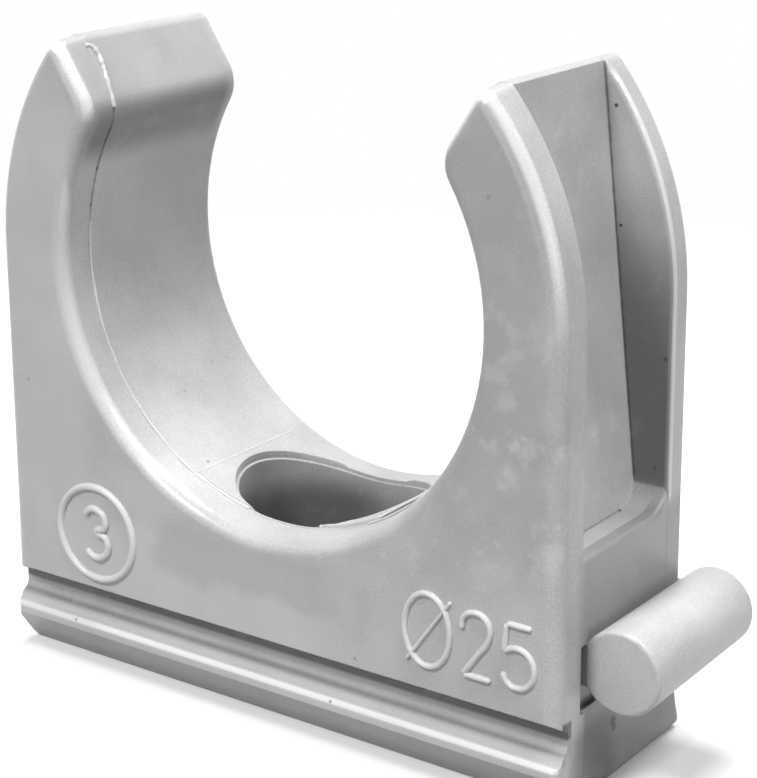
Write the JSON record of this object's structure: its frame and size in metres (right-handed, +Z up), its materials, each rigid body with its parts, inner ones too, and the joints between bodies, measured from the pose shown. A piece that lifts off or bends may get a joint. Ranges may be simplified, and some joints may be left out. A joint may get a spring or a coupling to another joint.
{
  "type": "conduit clip",
  "caption": "Snap-in C-shaped clip that holds a 25 mm conduit, with a grooved foot, a screw recess in the seat and a coupling pin for joining clips side by side.",
  "frame": {"origin": "on the underside of the foot, under the axis of the conduit seat, half way through the body's thickness", "axes": "+X to the right along the front face, towards the coupling pin; +Y from the front face to the back, along the conduit; +Z up, away from the wall the foot sits on"},
  "size_m": [0.0383, 0.0122, 0.0338],
  "materials": {
    "body": "light grey moulded plastic, satin to matt"
  },
  "bodies": {
    "root": {"clip_body": "body"}
  },
  "joints": []
}
